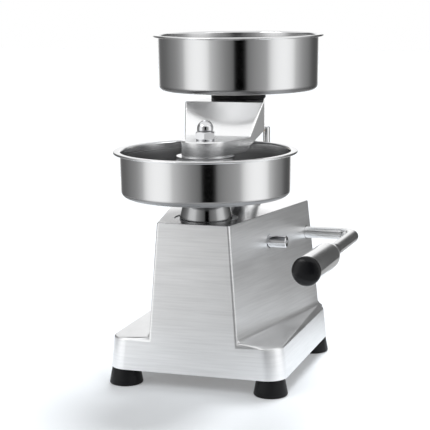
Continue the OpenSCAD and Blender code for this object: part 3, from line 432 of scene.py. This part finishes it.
# %% Look: rubber and plastic
rubber_look, tree, shader = new_look("black_rubber", (0.008, 0.008, 0.009), 0.0, 0.40)
shader.inputs["Specular IOR Level"].default_value = 0.2
mark(tree, shader, grain(tree, 420, stretch=(1, 1, 0.08)), 0.34, 0.56, 0.15, 0.05)

plastic_look, tree, shader = new_look("black_plastic", (0.006, 0.006, 0.007), 0.0, 0.25)
shader.inputs["Specular IOR Level"].default_value = 0.25
mark(tree, shader, grain(tree, 1100, detail=2), 0.18, 0.25, 0.08, 0.02)
print(len(bpy.data.materials), "materials made")

# %% [markdown]
# ## The bowls
# Both bowls are the same pressing in two depths: a flat floor, a rounded corner, a straight
# wall and a lip that ends in a rolled bead. Drawing the sheet's two faces as one closed line
# gives the wall its real 1.2 mm, which shows at the bright lip. The wall leans out by one
# millimetre, so that the bowl leaves its press tool.

# %% Turn the bowls
SHEET, CORNER, BEAD, LEAN, LIP = 1.2, 9, 1.7, 1, 2


def bowl_line(bottom, top, rim):
    corner = (WALL - LEAN - CORNER, bottom + CORNER)
    lip = (WALL + LIP, top - SHEET - LIP)
    seam = 180 - math.degrees(math.asin(1 - SHEET / BEAD))
    return (
        [(0, SHEET + bottom), (0, bottom)]
        + arc(*corner, CORNER, -90, 0, 10)
        + arc(*lip, LIP, 180, 90, 5)
        + arc(rim - BEAD, top - BEAD, BEAD, seam, 450, 14)
        + [(WALL + LIP, top)]
        + arc(*lip, LIP + SHEET, 90, 180, 5)
        + arc(*corner, CORNER - SHEET, 0, -90, 10)
        + [(0, SHEET + bottom)]
    )


lower_line = bowl_line(lower_bottom, lower_top, rim=130)
lower_bowl = turn_on_lathe("bowl_round_the_mould", lower_line, 160)
put(lower_bowl, (mould.x, mould.y, 0))
finish_piece(lower_bowl, lower_bowl_look, "stainless_sheet", "base", "lower_bowl", sharp=50)

upper_line = bowl_line(upper_bottom, upper_top, rim=128)
upper_bowl = turn_on_lathe("bowl_on_the_arm", upper_line, 160)
put(upper_bowl, (pivot.x, pivot.y, 0))
finish_piece(upper_bowl, upper_bowl_look, "stainless_sheet", "bowl", "upper_bowl", sharp=50)

# %% [markdown]
# ## The cone and the press disc
# The cone under the bowl flares to its foot and is polished like a mirror. Its edges are
# broken by half a millimetre, enough to catch a thin light line. Below its foot it has a
# spigot that goes through the body's top.

# %% Turn the cone
BORE, SPIGOT, CONE_FOOT, CONE_TOP = 13.6, 26.3, 236, 269.9  # two radii, two heights
spigot_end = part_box("mould_base")[0].z / MM
cone_line = (
    [(BORE, spigot_end), (SPIGOT, spigot_end), (SPIGOT, CONE_FOOT - 6.5)]
    + [(SPIGOT + 1, CONE_FOOT - 6.5), (SPIGOT + 1, CONE_FOOT), (37.4, CONE_FOOT)]
    + arc(37.5, CONE_FOOT + 0.5, 0.5, -90, 10, 3)
    + arc(30.0, CONE_TOP - 0.4, 0.4, 12, 90, 3)
    + [(BORE, CONE_TOP), (BORE, spigot_end)]
)
cone = put(turn_on_lathe("polished_cone", cone_line, 128), (mould.x, mould.y, 0))
finish_piece(cone, cone_look_painted_shade, "polished_aluminium", "base", "mould_base", sharp=40)

# %% [markdown]
# The press disc is a turned plate with a waist under the arm. Only its flared edge shows in the
# photo, as a bright rim inside the bowl.

# %% Turn the press disc
DISC, EDGE, SHANK = 54, 4, 41  # outer radius, height of the flared edge, upper radius
disc_low, disc_high = (corner.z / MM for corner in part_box("press_disc"))
disc_line = (
    [(0, disc_low), (DISC - 1.2, disc_low)]
    + arc(DISC - 1, disc_low + 1, 1, -90, 0, 4)
    + [(DISC, disc_low + EDGE)]
    + arc(58, disc_high - 1, 17, 230, 180, 10)
    + [(SHANK, disc_high), (6, disc_high), (6, disc_low + EDGE), (0, disc_low + EDGE)]
)
disc = put(turn_on_lathe("press_disc_turned", disc_line, 128), (mould.x, mould.y, 0))
finish_piece(disc, turned_look, "polished_aluminium", "arm", "press_disc", sharp=40)

# %% [markdown]
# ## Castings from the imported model
# The body and the arm have planes that lean in two directions at once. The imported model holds
# them exactly, so a copy of its mesh is the best blank: its loose triangles are merged and flat
# regions are joined. Merging by more than a thousandth of a millimetre would tear thin
# triangles open. The arm's edges get the small radius that buffing leaves. The body keeps its
# own rounded corners, because inside it edges lie too close together for a radius.
# The last modifier lets large faces rule the shading, so that flat planes look flat.

# %% Dress the castings
MERGE, FLAT = 0.001, 1  # mm, degrees


def blank_of(source, name):
    blank = bpy.data.objects.new(name, frame["nodes"][source].data.copy())
    bpy.context.scene.collection.objects.link(blank)
    pick(blank)
    bpy.ops.object.mode_set(mode="EDIT")
    bpy.ops.mesh.select_all(action="SELECT")
    bpy.ops.mesh.remove_doubles(threshold=MERGE * MM)
    bpy.ops.mesh.dissolve_limited(angle_limit=math.radians(FLAT))
    bpy.ops.object.mode_set(mode="OBJECT")
    return blank


def round_edges(piece, width):
    pick(piece)
    edge = piece.modifiers.new("rounded_edges", "BEVEL")
    edge.width = width * MM
    edge.segments = 3
    edge.limit_method = "ANGLE"
    edge.angle_limit = math.radians(30)
    bpy.ops.object.modifier_apply(modifier=edge.name)


def even_shading(piece):
    pick(piece)
    even = piece.modifiers.new("even_shading", "WEIGHTED_NORMAL")
    even.keep_sharp = True
    even.weight = 80
    bpy.ops.object.modifier_apply(modifier=even.name)


body = blank_of("base_casting", "body_casting")
finish_piece(body, cast_look, "cast_body", "base", "base_casting", sharp=32)
even_shading(body)

arm = blank_of("press_arm", "swing_arm")
round_edges(arm, 0.8)
finish_piece(arm, buffed_look, "polished_aluminium", "arm", "press_arm", sharp=32)
even_shading(arm)

# %% [markdown]
# ## Feet and the ring under the bowl
# The feet are one moulding used four times. It is turned once and copied, each copy with its
# own mesh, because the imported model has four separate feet.

# %% Turn the rubber pieces
foot_line = (
    [(9, 0)]
    + arc(21.5, 2.5, 2.5, -90, 8, 6)
    + arc(18.6, 23.6, 1.4, 8, 90, 4)
    + [(3.2, 25), (3.2, 14), (9, 14), (9, 0)]
)
first_foot = turn_on_lathe("rubber_foot", foot_line, 64)
for name in ("front_left", "front_right", "rear_left", "rear_right"):
    foot = first_foot.copy()
    foot.data = first_foot.data.copy()
    foot.name = "rubber_" + name
    bpy.context.scene.collection.objects.link(foot)
    place = middle("foot_" + name)
    put(foot, (place.x, place.y, 0))
    finish_piece(foot, rubber_look, "black_rubber", "base", "foot_" + name, sharp=40)
bpy.data.objects.remove(first_foot)

ring_low, ring_high = (corner.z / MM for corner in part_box("support_ring"))
ring_line = (
    [(29.8, ring_low + 0.5), (29.8, ring_high - 0.5), (30.3, ring_high)]
    + arc(40, ring_high - 1, 1, 90, 0, 4)
    + arc(40, ring_low + 1, 1, 0, -90, 4)
    + [(30.3, ring_low), (29.8, ring_low + 0.5)]
)
ring = put(turn_on_lathe("rubber_ring", ring_line, 96), (pivot.x, pivot.y, 0))
finish_piece(ring, rubber_look, "black_rubber", "arm", "support_ring", sharp=40)

# %% [markdown]
# ## The acorn nut
# A nut's corners are cut back by a cone on both faces, which draws a curve on every flat. The
# honest way is the machinist's: a hexagon and a turned blank, of which only the common part
# is kept. Cutting leaves slivers where a corner just touches the blank, and these are merged.

# %% Make the hexagon
NUT_FLATS, NUT_TALL, SLIVER = 26, 10, 0.05
nut_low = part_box("acorn_nut")[0].z / MM
nut_high = nut_low + NUT_TALL
deselect()
bpy.ops.mesh.primitive_cylinder_add(
    vertices=6, radius=NUT_FLATS / 2 / math.cos(math.pi / 6) * MM, depth=NUT_TALL * MM,
    location=(0, 0, (nut_low + NUT_TALL / 2) * MM))
nut = bpy.context.object
nut.name = "acorn_nut_plated"
blank_line = [(0, nut_low), (13.6, nut_low), (15.4, nut_low + 1.2), (15.4, nut_high - 2),
              (12.4, nut_high), (0, nut_high)]
blank = turn_on_lathe("nut_blank", blank_line, 96)
pick(nut)
bpy.ops.object.transform_apply(location=True)
cut = nut.modifiers.new("cut_back", "BOOLEAN")
cut.operation = "INTERSECT"
cut.object = blank
bpy.ops.object.modifier_apply(modifier=cut.name)
bpy.data.objects.remove(blank)
bpy.ops.object.mode_set(mode="EDIT")
bpy.ops.mesh.select_all(action="SELECT")
bpy.ops.mesh.remove_doubles(threshold=SLIVER * MM)
bpy.ops.mesh.dissolve_degenerate(threshold=SLIVER * MM)
close_up()
print("hexagon with", len(nut.data.polygons), "faces")

# %% [markdown]
# The dome is turned, starts one millimetre inside the hexagon and becomes one piece with it.
# The washer below is turned too, with its sharp edges broken.

# %% Set the dome on it and turn the washer
dome_line = ([(0, nut_high - 1), (11.2, nut_high - 1), (11.6, nut_high)]
             + arc(0, nut_high + 4.5, 11.6, 0, 90, 14))
dome = turn_on_lathe("nut_dome", dome_line, 96)
pick(nut)
dome.select_set(True)
bpy.ops.object.join()
put(nut, (mould.x, mould.y, 0), (0, 0, 12))
finish_piece(nut, bright_look, "bright_plating", "arm", "acorn_nut", sharp=30)

washer_line = [(6.3, 0), (13, 0), (13.4, 0.4), (13.4, 1.2), (13, 1.6), (6.3, 1.6), (6.3, 0)]
washer = turn_on_lathe("nut_washer_plated", washer_line, 96)
put(washer, (mould.x, mould.y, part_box("nut_washer")[0].z))
finish_piece(washer, bright_look, "bright_plating", "arm", "nut_washer", sharp=30)

# %% [markdown]
# ## The handle
# The handle is one round bar, bent once, with a turned grip pushed on its end. The bar is
# made as the smith makes it: a round face is drawn out, bent round a centre and drawn out
# again. It is built level and then tilted about the bar's own axis by 1.1 degrees. All sizes
# of the handle stand together, because the bar and the grip share them.

# %% Sizes of the handle
BAR, BEND = 9, 22  # the bar's radius and its centre line's radius in the bend
BAR_Y, BAR_Z, ARM_X = 170, 190.8, 178.5
REACH, BAR_SHORT, RISE = 298, 30, 1.1  # mm to the cap, mm less for the bar, degrees
bar_left = (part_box("handle_bar")[0].x - mould.x) / MM


def tilt(piece):
    """Turns a level handle piece about the bar's axis."""
    axis = at(0, BAR_Y, BAR_Z)
    turn = Matrix.Rotation(math.radians(-RISE), 4, "X")
    piece.matrix_world = Matrix.Translation(axis) @ turn @ piece.matrix_world
    return piece


print("the handle's arm reaches", REACH, "mm forward of its bar")

# %% [markdown]
# The first face is a millimetre smaller than the bar, so drawing it out once and widening it
# gives the bar's end a chamfer. The spin operator then bends the bar about the bend's centre.

# %% Bend the bar
def draw_out(x, y):
    """Extrudes the selected face by x and y in mm."""
    bpy.ops.mesh.extrude_region_move(TRANSFORM_OT_translate={"value": (x * MM, y * MM, 0)})


deselect()
bpy.ops.mesh.primitive_circle_add(
    vertices=48, radius=(BAR - 1) * MM, fill_type="NGON",
    location=(bar_left * MM, 0, 0), rotation=(0, math.pi / 2, 0))
bar = bpy.context.object
bar.name = "bent_bar"
bpy.ops.object.transform_apply(location=True, rotation=True)
bpy.ops.object.mode_set(mode="EDIT")
bpy.ops.mesh.select_all(action="SELECT")
draw_out(1, 0)
bpy.ops.transform.resize(value=(1, BAR / (BAR - 1), BAR / (BAR - 1)))
draw_out(ARM_X - BEND - bar_left - 1, 0)
bpy.ops.mesh.spin(steps=20, angle=math.radians(90), axis=(0, 0, 1),
                  center=((ARM_X - BEND) * MM, -BEND * MM, 0))
draw_out(0, -(REACH - BAR_SHORT - BEND))
close_up()
tilt(bar)
finish_piece(bar, satin_look, "bright_plating", "handle", "handle_bar", sharp=40)

# %% [markdown]
# The grip has a long shoulder that swells from the neck to the hand's size, a ferrule at the
# neck and a black cap. All three are templates along the same axis, so they are turned
# upright and then laid along the handle.

# %% Turn the grip
GRIP, NECK, PLAY, SHOULDER, STEPS = 19.7, 10.8, 0.05, 38, 16
hole = BAR + PLAY
ferrule_start = REACH - 158
grip_start = ferrule_start + 10
grip_end = REACH - 3


def lay_on_handle(piece):
    """Turns an upright piece so that its height runs forward along the handle's arm."""
    piece.matrix_world = (Matrix.Translation((ARM_X * MM, 0, 0))
                          @ Matrix.Rotation(math.radians(90), 4, "X"))
    return tilt(piece)


def swell(t):
    return NECK + (GRIP - 1.2 - NECK) * (1 - math.cos(math.pi * t)) / 2


shoulder = [(swell(i / STEPS), grip_start + SHOULDER * i / STEPS) for i in range(STEPS + 1)]
grip_line = ([(hole, grip_start + 0.4), (10.2, grip_start)] + shoulder
             + [(GRIP - 0.15, grip_end - 3), (GRIP - 0.5, grip_end - 0.4)]
             + [(GRIP - 1.2, grip_end), (hole, grip_end), (hole, grip_start + 0.4)])
grip = lay_on_handle(turn_on_lathe("turned_grip", grip_line, 96))
grip_look, tree, shader = new_look("turned_grip_metal", (0.85, 0.855, 0.86), 1.0, 0.16)
grip_rings = rings(tree, at(ARM_X, 0, BAR_Z + 3), 500, axis="Y")
mark(tree, shader, grip_rings, 0.12, 0.22, 0.05, 0.02)
finish_piece(grip, grip_look, "polished_aluminium", "handle", "handle_grip", sharp=40)

# %% [markdown]
# The ferrule closes the gap between the bar and the grip's neck. The cap is a shallow dome
# that covers the grip's open end.

# %% Turn the ferrule and the cap
ferrule_line = [(hole, ferrule_start), (9.9, ferrule_start), (10.3, ferrule_start + 0.5),
                (10.3, grip_start - 0.8), (10.0, grip_start), (hole, grip_start),
                (hole, ferrule_start)]
ferrule = lay_on_handle(turn_on_lathe("grip_ferrule_ring", ferrule_line, 64))
finish_piece(ferrule, bright_look, "bright_plating", "handle", "grip_ferrule", sharp=30)

crown = [math.radians(a) for a in range(0, 91, 6)]
cap_line = ([(0, grip_end), (GRIP - 1, grip_end), (GRIP - 0.2, grip_end + 0.4)]
            + [(GRIP * math.cos(a), REACH + 9 * math.sin(a)) for a in crown])
cap = lay_on_handle(turn_on_lathe("grip_end_cap", cap_line, 96))
finish_piece(cap, plastic_look, "black_plastic", "handle", "grip_cap", sharp=40)

# %% [markdown]
# ## The stub shaft and the stop pin
# The plain shaft end on the right is the rocker's fulcrum. It has a chamfer and the small
# centre hole that every shaft turned between centres keeps.

# %% Turn the shaft and the pin
SHAFT, CHAMFER, FULCRUM_Y, FULCRUM_Z = 8.7, 1.2, 51, 198  # a radius, a width, a place
shaft_left, shaft_right = ((corner.x - mould.x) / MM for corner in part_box("fulcrum_shaft"))
half_line = [(0, 3), (1.2, 2), (2.4, 0), (SHAFT - CHAMFER, 0), (SHAFT, CHAMFER)]
shaft_line = ([(r, shaft_left + z) for r, z in half_line]
              + [(r, shaft_right - z) for r, z in reversed(half_line)])
shaft = turn_on_lathe("fulcrum_shaft_plated", shaft_line, 64)
shaft.matrix_world = (Matrix.Translation(at(0, FULCRUM_Y, FULCRUM_Z))
                      @ Matrix.Rotation(math.radians(90), 4, "Y"))
finish_piece(shaft, bright_look, "bright_plating", "base", "fulcrum_shaft", sharp=30)

pin_low, pin_high = (corner.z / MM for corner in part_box("stop_pin"))
pin_line = ([(0, pin_low), (4.6, pin_low), (5.4, pin_low + 0.8)]
            + arc(2.9, pin_high - 2.5, 2.5, 0, 90, 6) + [(0, pin_high)])
pin = turn_on_lathe("stop_pin_plated", pin_line, 48)
pin_place = middle("stop_pin")
put(pin, (pin_place.x, pin_place.y, 0))
finish_piece(pin, satin_look, "bright_plating", "base", "stop_pin", sharp=40)

# %% [markdown]
# ## The pieces that stay as the model has them
# The lever work, the bushes and the screws already have their true shape. They keep it and
# get their finish by the slot that the record names. The collar under the upper bowl is the
# only other piece of stainless sheet, so it takes that bowl's finish.

# %% Give the remaining pieces their finish
LOOKS = {
    "cast_body": cast_look, "polished_aluminium": turned_look, "stainless_sheet": upper_bowl_look,
    "bright_plating": bright_look, "machined_steel": steel_look, "bronze": bronze_look,
    "black_rubber": rubber_look, "black_plastic": plastic_look,
}
for part in frame["record"]["subparts"]:
    piece = frame["nodes"][part["node"]]
    if piece.hide_render:
        continue
    look = LOOKS[part["material_slot"]]
    if not piece.material_slots:
        piece.data.materials.append(look)
    for slot in piece.material_slots:
        slot.material = look
    print(part["node"], "keeps its shape, in", look.name)

# %% [markdown]
# ## The studio
# The floor is a pale sheet that the camera sees as white, with the machine's soft shadow on it.
# A plain diffuse floor would only be grey, so its own glow is added for the camera and for
# rays that come by way of metal, and the shadow stays because the diffuse part still falls.

# %% Lay the floor
GLOW, AIR, SKY = 0.20, 0.22, 1.0  # the paper's glow, the light on the object, what shows


def in_view(tree):
    """1 for what the camera sees, directly or by way of metal or glass, otherwise 0."""
    rays = node(tree, "ShaderNodeLightPath").outputs
    seen = calc(tree, "MAXIMUM", rays["Is Camera Ray"], rays["Is Glossy Ray"])
    return calc(tree, "MAXIMUM", seen, rays["Is Transmission Ray"])


def empty_look(name):
    look = bpy.data.materials.new(name)
    look.use_nodes = True
    look.node_tree.nodes.clear()
    return look, look.node_tree


deselect()
bpy.ops.mesh.primitive_plane_add(size=14, location=(0, 1.5, 0))
floor = bpy.context.object
floor.name = "studio_floor"
floor_look, tree = empty_look("studio_paper")
paper = node(tree, "ShaderNodeBsdfDiffuse", Color=(0.78, 0.82, 0.86))
glow = node(tree, "ShaderNodeEmission", Color=(1.0, 0.98, 0.96),
            Strength=calc(tree, "MULTIPLY", in_view(tree), GLOW))
both = node(tree, "ShaderNodeAddShader")
feed(tree, both.inputs[0], paper.outputs[0])
feed(tree, both.inputs[1], glow.outputs[0])
node(tree, "ShaderNodeOutputMaterial", Surface=both.outputs[0])
floor.data.materials.append(floor_look)
print("floor", rounded(floor.dimensions, 1), "m")

# %% [markdown]
# The room's air is the world's background. It gives the object only a little light, and what
# the camera sees of it is white.

# %% Fill the room with air
world = bpy.data.worlds.new("studio_air")
world.use_nodes = True
bpy.context.scene.world = world
air = world.node_tree.nodes["Background"]
feed(world.node_tree, air.inputs["Color"], (1, 1, 1))
strength = node(world.node_tree, "ShaderNodeMapRange", Value=in_view(world.node_tree),
                To_Min=AIR, To_Max=SKY)
feed(world.node_tree, air.inputs["Strength"], strength.outputs["Result"])
print("air gives", AIR, "and shows as", SKY)

# %% [markdown]
# Polished bowls show the room. Round the photographed machine stood two tall soft boxes to the
# left and right of a dark camera, with grey walls behind. The same room is built as one tall
# tent whose brightness changes round the machine, and only reflections see it. Its hem lies on
# the floor like a photographer's sheet, or else the bowls would mirror the white paper.

# %% Raise the reflection tent
tent_place = at(0, 80, 0)
tent = turn_on_lathe("studio_tent", [(420, 3), (1300, 3), (1300, 1150)], 96)
put(tent, (tent_place.x, tent_place.y, 0))
pick(tent)
bpy.ops.object.transform_apply(location=True)
tent.visible_camera = False
tent.visible_diffuse = False
tent.visible_transmission = False
tent.visible_shadow = False
print("tent", rounded(tent.dimensions, 2), "m")

# %% [markdown]
# The brightness is a curve over the direction, drawn through a table. The direction of a
# point is its angle round the tent's middle, less the angle in which the camera stands. A
# curve works on shares from 0 to 1, so angle and brightness are both brought to that range.

# %% Light the tent
TENT = [  # degrees to the right of the camera's direction, brightness
    (-180, 1.2), (-160, 0.9), (-145, 0.15), (-110, 0.25), (-88, 0.5), (-60, 1.15), (-40, 0.65),
    (-20, 0.3), (-7, 0.15), (-2, 0), (7, 0), (14, 0.2), (40, 0.45), (68, 1.15), (90, 0.6),
    (115, 0.25), (145, 0.1), (160, 0.9), (180, 1.2),
]
BRIGHTEST = max(value for _, value in TENT)
HEM, HEM_REACH = 0.45, 850  # brightness, mm from the tent's middle

tent_look, tree = empty_look("studio_tent_light")
away = camera.location - tent_place
heading = math.atan2(away.y, away.x)
split = node(tree, "ShaderNodeSeparateXYZ", Vector=spot(tree, (tent_place.x, tent_place.y, 0)))
angle = calc(tree, "ARCTAN2", split.outputs["Y"], split.outputs["X"])
apart = calc(tree, "WRAP", calc(tree, "SUBTRACT", angle, heading), math.pi, -math.pi)
share = node(tree, "ShaderNodeMapRange", Value=apart, From_Min=-math.pi, From_Max=math.pi)
curve = node(tree, "ShaderNodeFloatCurve", Value=share.outputs["Result"])
curve.mapping.clip_max_y = 2  # leaves the smooth curve room above its highest point
line = curve.mapping.curves[0]
spots = [((degrees + 180) / 360, value / BRIGHTEST) for degrees, value in TENT]
line.points[0].location = spots[0]
line.points[1].location = spots[-1]
for place in spots[1:-1]:
    line.points.new(*place)
curve.mapping.update()
wall_light = calc(tree, "MULTIPLY", curve.outputs["Value"], BRIGHTEST)
on_hem = calc(tree, "LESS_THAN", from_axis(tree, tent_place), HEM_REACH * MM)
brightness = calc(tree, "MAXIMUM", wall_light, calc(tree, "MULTIPLY", on_hem, HEM))
light = node(tree, "ShaderNodeEmission", Strength=brightness)
node(tree, "ShaderNodeOutputMaterial", Surface=light.outputs["Emission"])
tent.data.materials.append(tent_look)
print("tent with", len(TENT), "brightness values, the brightest", BRIGHTEST)

# %% [markdown]
# Three soft lamps shape what isn't a mirror: a large one high on the left in front, a
# weaker one on the right, and a wide even one from above and behind. The last one lights the
# whole floor alike, so that the paper stays white and the shadow falls to the front.

# %% Hang the lamps
def hang(name, light, place, direction):
    holder = bpy.data.objects.new(name, light)
    bpy.context.scene.collection.objects.link(holder)
    holder.location = place
    holder.rotation_euler = direction.to_track_quat("-Z", "Y").to_euler()
    print(name, "at", rounded(place), "strength", round(light.energy, 1))
    return holder


def soft_box(name, place, aim, size, power):
    light = bpy.data.lights.new(name, "AREA")
    light.shape = "SQUARE"
    light.size = size
    light.energy = power
    return hang(name, light, place, aim - Vector(place))


heart = at(0, 60, 240)
soft_box("key_left", (-1.5, -1.7, 1.7), heart, size=1.4, power=22)
soft_box("fill_right", (1.9, -1.2, 1.2), heart, size=1.2, power=10)

sun = bpy.data.lights.new("sky_from_behind", "SUN")
sun.energy = 3.1
sun.angle = math.radians(30)
sky = hang("sky_from_behind", sun, (0, 0, 0), Vector((-0.1, -0.6, -1)))
sky.visible_glossy = False

# %% [markdown]
# ## Finish
# The picture keeps plain colours, with the Standard view. The dressed machine must not
# be larger than the model it stands for.

# %% Finish with the Standard view
bpy.context.scene.view_settings.view_transform = "Standard"
